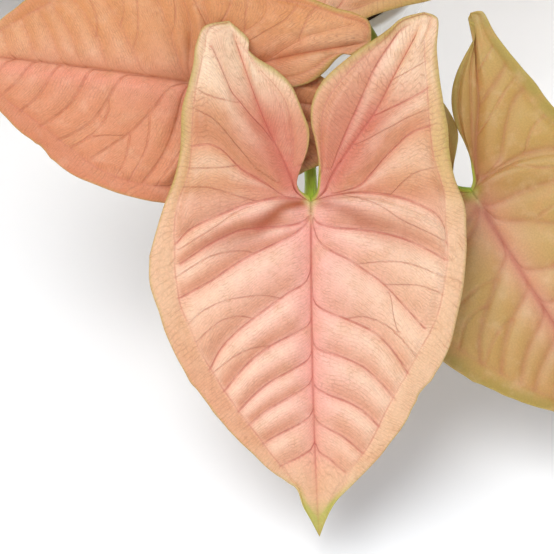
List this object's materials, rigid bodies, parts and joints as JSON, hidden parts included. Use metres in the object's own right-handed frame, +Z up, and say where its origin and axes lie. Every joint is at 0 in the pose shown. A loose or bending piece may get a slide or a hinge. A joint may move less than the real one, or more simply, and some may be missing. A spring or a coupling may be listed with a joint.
{
  "type": "arrowhead plant",
  "caption": "Bushy foliage plant with salmon-pink arrowhead leaves on slim green stalks, growing from soil in a plain round tapered pot.",
  "frame": {"origin": "centre of the pot's underside, on the surface that it stands on", "axes": "+Z up; -Y is the side on which the large front leaf hangs over the rim; +X to the right seen from there"},
  "size_m": [0.2848, 0.3236, 0.1924],
  "materials": {
    "pot": "plain white glaze, soft gloss",
    "soil": "dark crumbly potting mix, matt",
    "stalk": "smooth olive green plant skin, satin",
    "blade": "salmon-pink leaf with rose veins and a yellow-green edge, satin"
  },
  "bodies": {
    "root": {"pot": "pot", "soil": "soil", "stalks_front": "stalk", "stalks_left": "stalk", "stalks_right": "stalk", "leaf_front": "blade", "leaf_top": "blade", "leaf_crown": "blade", "leaf_left": "blade", "leaf_left_high": "blade", "leaf_left_low": "blade", "leaf_back_left": "blade", "leaf_right": "blade", "leaf_right_high": "blade", "leaf_right_low": "blade", "leaf_back": "blade", "leaf_back_right": "blade"}
  },
  "joints": []
}
